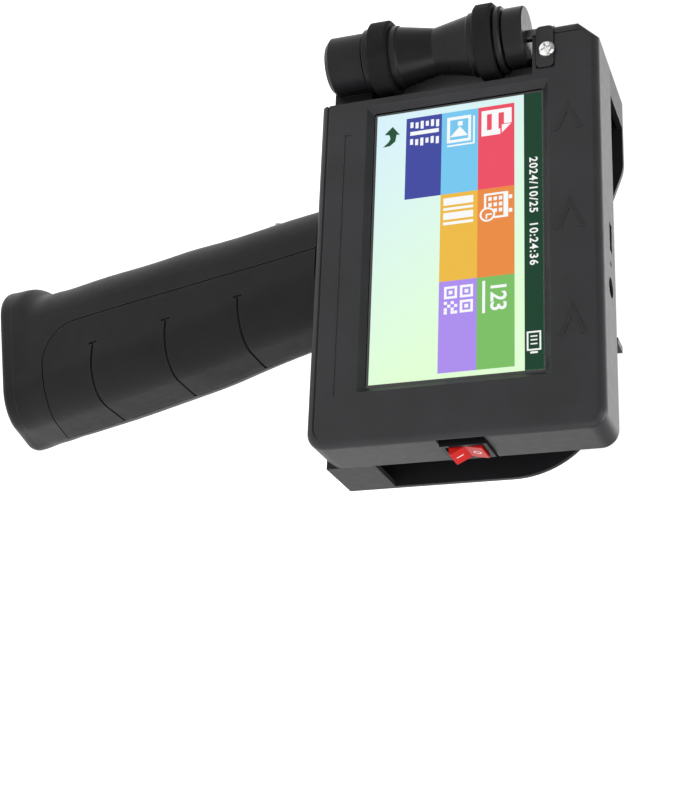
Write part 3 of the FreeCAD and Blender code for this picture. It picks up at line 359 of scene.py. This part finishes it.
def digits(name, text, size, x, z, material, spread=1.0):
    """Generic numerals laid on the screen, made into a mesh."""
    curve = bpy.data.curves.new(name, "FONT")
    curve.body = text
    curve.size = size * MM
    curve.extrude = 0.00003
    curve.space_character = spread
    curve.offset = size * MM * 0.018
    curve.align_x = "LEFT"
    curve.align_y = "CENTER"
    scratch = bpy.data.objects.new(name, curve)
    bpy.context.scene.collection.objects.link(scratch)
    bpy.context.view_layer.update()
    mesh = bpy.data.meshes.new_from_object(scratch.evaluated_get(bpy.context.evaluated_depsgraph_get()))
    bpy.data.objects.remove(scratch)
    place = Matrix.Translation((x * MM, -0.22 * MM, z * MM))
    mesh.transform(place @ Matrix.Rotation(math.radians(90), 4, "X"))
    return piece(name, mesh, material, "printer")


TILES = {
    "tile_red": ((-45.4, 7.0, -15.4, 18.9), (0.86, 0.075, 0.13)),
    "tile_sky": ((-45.4, -5.2, -15.4, 7.0), (0.18, 0.58, 0.88)),
    "tile_indigo": ((-45.4, -17.3, -15.4, -5.2), (0.05, 0.065, 0.36)),
    "tile_orange": ((-15.4, 7.0, 15.4, 18.9), (0.83, 0.26, 0.055)),
    "tile_yellow": ((-15.4, -5.2, 15.4, 7.0), (0.86, 0.5, 0.055)),
    "tile_green": ((15.4, 7.0, 46.2, 18.9), (0.2, 0.53, 0.13)),
    "tile_purple": ((15.4, -5.2, 46.2, 7.0), (0.42, 0.27, 0.87)),
}


def screen():
    """The lit picture: pale background, status bar, coloured tiles, numerals and icons."""
    background = lit("screen_background", (0.62, 0.8, 0.86), (0.68, 0.9, 0.6), 0.98)
    plates("screen_picture", [rect(-SCREEN_HALF, SCREEN_LOW, SCREEN_HALF, SCREEN_HIGH)], 0.0, PICTURE,
           background)
    bar_green = lit("status_green", (0.006, 0.055, 0.024), strength=0.75)
    plates("status_bar", [rect(-SCREEN_HALF, 22.0, SCREEN_HALF, SCREEN_HIGH)], -0.02, PATCH, bar_green)
    for name, (sides, colour) in TILES.items():
        plates(name, [rect(*sides)], -0.02, PATCH, lit(name, colour, strength=0.85))
    ink = lit("screen_white", (0.95, 0.97, 0.97), strength=0.85)
    digits("clock_digits", "2024/10/25  10:24:36", 3.65, -24.5, 24.9, ink, 1.19)
    digits("tile_digits", "123", 7.0, 17.4, 13.6, ink, 0.94)
    icons(ink)
    arrow()


def icons(ink):
    """Plain generic icons in white, one on each tile, and the battery sign."""
    # battery
    strokes = [bar(35.6, 22.9, 41.4, 22.9, 0.5), bar(35.6, 26.8, 41.4, 26.8, 0.5),
               bar(35.6, 22.9, 35.6, 26.8, 0.5), bar(41.4, 22.9, 41.4, 26.8, 0.5),
               bar(42.3, 24.0, 42.3, 25.7, 0.6)]
    strokes += [bar(x, 24.0, x, 25.7, 0.4) for x in (37.0, 38.2, 39.5)]
    # red: a sheet with a turned corner
    strokes += [[(-43.9, 18.0), (-38.3, 18.0), (-38.3, 16.9), (-43.9, 16.9)], rect(-43.9, 8.1, -42.5, 16.9),
                rect(-42.5, 15.5, -40.9, 16.9), rect(-42.5, 11.5, -40.9, 13.7), rect(-42.5, 8.1, -40.9, 9.9),
                rect(-40.9, 11.5, -36.6, 13.7), rect(-40.9, 8.1, -36.6, 9.9), rect(-40.9, 15.5, -38.3, 16.9),
                rect(-36.6, 8.1, -34.6, 14.3), [(-38.0, 17.8), (-35.0, 14.8), (-38.0, 14.8)]]
    # sky blue: stacked pictures
    strokes += [rect(-43.4, -3.4, -42.3, 4.6), rect(-34.9, -3.4, -33.9, 4.6), rect(-42.3, -3.4, -34.9, -2.4),
                rect(-42.3, 3.7, -34.9, 4.6), [(-36.0, -2.4), (-36.0, 3.6), (-39.6, 0.9)],
                rect(-41.5, 0.2, -39.9, 1.8), bar(-32.8, -3.0, -32.8, 5.6, 0.55),
                bar(-42.6, 5.6, -32.8, 5.6, 0.55)]
    # indigo: coded rows
    for base in (-43.8, -37.5):
        strokes += [rect(base + 0.3 * (n % 2), -15.9 + 1.75 * n,
                         base + 2.1 + 0.4 * (n % 3), -14.9 + 1.75 * n) for n in range(6)]
    strokes.append(rect(-40.2, -15.9, -38.8, -6.2))
    # yellow: bars
    for x0, wide in ((-13.9, 2.6), (-10.4, 0.9), (-8.6, 2.4), (-5.3, 1.0)):
        strokes.append(rect(x0, -4.2, x0 + wide, 5.6))
    # orange: calendar and clock
    strokes += [rect(-13.6, 9.1, -12.9, 16.9), rect(-13.6, 15.4, -4.6, 16.9), rect(-13.6, 9.1, -8.2, 9.8),
                rect(-5.3, 12.4, -4.6, 16.9)]
    strokes += [rect(-12.2 + 2.1 * column, 10.5 + 1.7 * row, -10.9 + 2.1 * column, 11.6 + 1.7 * row)
                for row in range(3) for column in range(3) if not (row == 0 and column == 2)]
    strokes += [rect(-12.2, 17.1, -10.9, 18.2), rect(-7.4, 17.1, -6.1, 18.2),
                bar(-6.2, 9.9, -6.2, 11.4, 0.5), bar(-6.2, 9.9, -5.0, 9.9, 0.5)]
    # purple: a square code
    for cx, cz in ((19.4, 3.7), (19.4, -1.4), (24.5, 3.7)):
        strokes += [rect(cx - 2.1, cz - 2.1, cx + 2.1, cz - 1.3),
                    rect(cx - 2.1, cz + 1.3, cx + 2.1, cz + 2.1),
                    rect(cx - 2.1, cz - 1.3, cx - 1.3, cz + 1.3),
                    rect(cx + 1.3, cz - 1.3, cx + 2.1, cz + 1.3),
                    rect(cx - 0.6, cz - 0.6, cx + 0.6, cz + 0.6)]
    strokes += [rect(22.4 + 1.1 * column, -3.5 + 1.1 * row, 23.4 + 1.1 * column, -2.5 + 1.1 * row)
                for column, row in ((0, 0), (1, 1), (2, 0), (3, 2), (1, 3), (0, 2), (3, 0), (2, 2), (3, 3))]
    strokes.append(bar(17.2, 9.2, 27.2, 9.2, 0.9))
    plates("screen_icons", strokes, INK_BACK, INK_FRONT, ink)
    bm = bmesh.new()
    ring(bm, -6.2, 10.2, 2.5, 1.9, INK_BACK, INK_FRONT)
    piece("icon_clock", mesh_from(bm, "icon_clock"), ink, "printer")


def arrow():
    """The curved back arrow at the screen's lower corner."""
    green = lit("arrow_green", (0.015, 0.11, 0.045), strength=0.6)
    points = [(-43.2, -22.0), (-40.6, -24.7), (-40.2, -23.1), (-38.7, -22.7), (-37.5, -23.4), (-35.9, -25.2),
              (-36.1, -22.8), (-37.6, -21.0), (-40.1, -20.6), (-39.8, -19.5)]
    plates("back_arrow", [points], INK_BACK, -0.16, green)


screen()


# ---------------------------------------------------------------- marks on the housing

def chevrons():
    """Three raised chevrons above the window, and the fine line below it."""
    strokes = []
    for apex, first, second in (((-40.0, 36.4), (-31.5, 32.6), (-31.5, 40.2)),
                                ((-5.7, 36.5), (3.1, 32.9), (3.1, 40.4)),
                                ((29.6, 36.9), (38.6, 33.4), (38.7, 40.5))):
        (x, z), (x1, z1), (x2, z2) = apex, first, second
        strokes.append([(x1, z1 - 1.0), (x - 2.1, z), (x2, z2 + 1.0),
                        (x2, z2 - 1.0), (x + 2.1, z), (x1, z1 + 1.0)])
    strokes += [bar(-41.4, -37.8, 51.0, -38.0, 0.25), bar(-41.1, -37.8, -41.1, -36.0, 0.25)]
    ridge = moulded("chevron_ridge", (0.008, 0.008, 0.009), (0.013, 0.013, 0.014), rough=(0.3, 0.4))
    plates("housing_marks", strokes, BEZEL_FACE + 0.05, BEZEL_FACE - 0.24, ridge)


def rocker_marks():
    """The stroke and ring that a rocker switch carries, one on each half of its bent face."""
    low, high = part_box("power_rocker")
    row = (low.y + high.y) / 2 / MM
    bm = bmesh.new()
    prism(bm, rect(-3.9, -0.25, -1.7, 0.25), 0.0, 0.06)
    ring(bm, 2.7, 0.0, 1.25, 0.85, 0.0, 0.06, 24)
    for vert in bm.verts:
        along, lift, across = vert.co / MM
        out = KEY_MIDDLE + KEY_BEND * abs(along) + lift
        vert.co = MM * Vector((KEY_PIVOT[0] + out * math.cos(KEY_REST) - along * math.sin(KEY_REST),
                               row + across,
                               KEY_PIVOT[1] + out * math.sin(KEY_REST) + along * math.cos(KEY_REST)))
    piece("rocker_marks", mesh_from(bm, "rocker_marks"), WHITE, "rocker")


def lathe(bm, profile, centre, parts=40):
    """A solid turned about a line along Y: profile is (radius, y), and flat discs close both its ends."""
    rings = []
    for radius, y in profile:
        angles = [2 * math.pi * n / parts for n in range(parts)]
        rings.append([bm.verts.new((MM * (centre[0] + radius * math.cos(angle)), MM * y,
                                    MM * (centre[1] + radius * math.sin(angle)))) for angle in angles])
    for near, far in zip(rings, rings[1:]):
        for n in range(parts):
            bm.faces.new((near[n], near[(n + 1) % parts], far[(n + 1) % parts], far[n]))
    bm.faces.new(rings[0])
    bm.faces.new(list(reversed(rings[-1])))


def island_centres(node):
    """The (x, z) middles of a node's separate solids, in millimetres, from low x to high."""
    groups = []
    for vert in NODES[node].data.vertices:
        spot = Vector((vert.co.x, vert.co.z)) / MM
        near = next((group for group in groups if (group[0] - spot).length < 8), None)
        if near is None:
            groups.append([spot, spot.copy(), spot.copy()])
        else:
            for axis in (0, 1):
                near[1][axis] = min(near[1][axis], spot[axis])
                near[2][axis] = max(near[2][axis], spot[axis])
    return sorted(tuple((group[1] + group[2]) / 2) for group in groups)


def cross_screws(name, node, facing, radius, height):
    """Pan head screws with a cross recess, in place of a node's plain ones; facing is -1 or 1 along Y."""
    low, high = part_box(node)
    front, end = (side.y / MM for side in ((low, high) if facing < 0 else (high, low)))
    seat = front - facing * height
    heads, cutters = bmesh.new(), bmesh.new()
    for number, (cx, cz) in enumerate(island_centres(node)):
        dome = [(0.54, 0), (0.79, 0.11), (0.94, 0.36), (1, 0.68)]
        profile = [(radius * out, front - facing * height * down) for out, down in dome]
        profile += [(radius, seat), (0.4 * radius, seat), (0.4 * radius, end)]
        lathe(heads, profile, (cx, cz))
        for turn in (CROSS_TURN + CROSS_STEP * number, CROSS_TURN + CROSS_STEP * number + 90):
            reach = Vector((math.cos(math.radians(turn)), math.sin(math.radians(turn)))) * 0.56 * radius
            prism(cutters, bar(cx - reach.x, cz - reach.y, cx + reach.x, cz + reach.y, 0.22 * radius),
                  front + facing * 0.5, front - facing * 0.7 * height)
    screws = piece(name, mesh_from(heads, name), BRIGHT, "printer")
    cutter = bpy.data.objects.new("cross_cutter", mesh_from(cutters, "cross_cutter"))
    bpy.context.scene.collection.objects.link(cutter)
    trim = screws.modifiers.new("cross", "BOOLEAN")
    trim.operation = "DIFFERENCE"
    trim.solver = "EXACT"
    trim.use_self = True
    trim.object = cutter
    bpy.context.view_layer.update()
    cut_mesh = bpy.data.meshes.new_from_object(screws.evaluated_get(bpy.context.evaluated_depsgraph_get()))
    screws.modifiers.remove(trim)
    screws.data = cut_mesh
    bpy.data.objects.remove(cutter)
    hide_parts(node)


def back_details():
    """Moulded grip ribs and a blank plate on the cover behind the cartridge bay."""
    low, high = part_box("rear_guard")
    back = high.y / MM
    ribs = [bar(-36.0, z, 16.0, z, 1.5) for z in range(2, 30, 4)]
    plates("back_ribs", ribs, back - 0.1, back + 0.7, GUARD)
    plates("back_plate", [rect(-36.0, -28.0, 16.0, -10.0)], back - 0.1, back + 0.35, PLATE)
    rims = [rect(-36.9, -28.9, 16.9, -28.1), rect(-36.9, -9.9, 16.9, -9.1), rect(-36.9, -28.1, -36.1, -9.9),
            rect(16.1, -28.1, 16.9, -9.9)]
    plates("back_plate_rim", rims, back - 0.1, back + 0.55, GUARD)


chevrons()
rocker_marks()
cross_screws("clamp_screw_cross", "axle_clamp_screw", -1, 2.8, 1.4)
cross_screws("guard_screws_cross", "guard_screws", 1, 2.6, 1.2)
back_details()


# ---------------------------------------------------------------- stage, lights, camera

def stage():
    """A plain pale floor just below the grip."""
    mat, tree, shader = new_material("floor_pale")
    shader.inputs["Roughness"].default_value = 0.9
    tint = mixed(tree, remap(tree, noise(tree, 3, 2), 0, 1), (0.86, 0.86, 0.86), (0.9, 0.9, 0.9))
    tree.links.new(tint, shader.inputs["Base Color"])
    low, high = CAD_BOX
    mesh = bpy.data.meshes.new("floor")
    half = 70
    corners = [(-half, -half, 0), (half, -half, 0), (half, half, 0), (-half, half, 0)]
    mesh.from_pydata(corners, [], [(0, 1, 2, 3)])
    mesh.transform(Matrix.Translation((0, 0, low.z - 0.05)))
    mesh.materials.append(mat)
    floor = bpy.data.objects.new("floor", mesh)
    bpy.context.scene.collection.objects.link(floor)


def area_light(name, place, target, size, power):
    """A square softbox turned toward a target."""
    data = bpy.data.lights.new(name, "AREA")
    data.size = size
    data.energy = power
    light = bpy.data.objects.new(name, data)
    light.location = place
    light.rotation_euler = (Vector(target) - Vector(place)).to_track_quat("-Z", "Y").to_euler()
    bpy.context.scene.collection.objects.link(light)


def lights():
    """Soft overhead light, weak softboxes round the object and a dim even sky."""
    world = bpy.data.worlds.new("studio")
    world.use_nodes = True
    background = world.node_tree.nodes["Background"]
    background.inputs["Color"].default_value = (1, 1, 1, 1)
    background.inputs["Strength"].default_value = 0.38
    bpy.context.scene.world = world
    bpy.context.scene.view_settings.view_transform = "Standard"
    data = bpy.data.lights.new("overhead", "SUN")
    data.energy = 2.7
    data.angle = math.radians(50)
    sun = bpy.data.objects.new("overhead", data)
    sun.rotation_euler = (math.radians(-14), math.radians(10), 0)
    bpy.context.scene.collection.objects.link(sun)
    area_light("behind", (-0.45, 1.05, 0.7), (0, 0, 0), 0.9, 7)
    area_light("key", (0.2, -0.7, 0.8), (0, 0, -0.05), 0.6, 4)
    area_light("side", (1.0, -0.3, 0.25), (0, 0, -0.05), 0.6, 3)


def camera():
    """The camera stands to the user's upper right, turned so that the grip points to the left."""
    data = bpy.data.cameras.new("camera")
    data.lens = 71.22
    data.sensor_width = 36
    data.clip_start = 0.01
    eye = bpy.data.objects.new("camera", data)
    right = Vector((-0.0397901, 0.3379168, 0.9403345))
    down = Vector((0.9302768, 0.3560064, -0.0885693))
    ahead = Vector((-0.3646942, 0.8712472, -0.3285217))
    turn = Matrix((right, -down, -ahead)).transposed()
    eye.matrix_world = Matrix.Translation((0.22705, -0.42265, 0.12260)) @ turn.to_4x4()
    bpy.context.scene.collection.objects.link(eye)
    bpy.context.scene.camera = eye


stage()
lights()
camera()
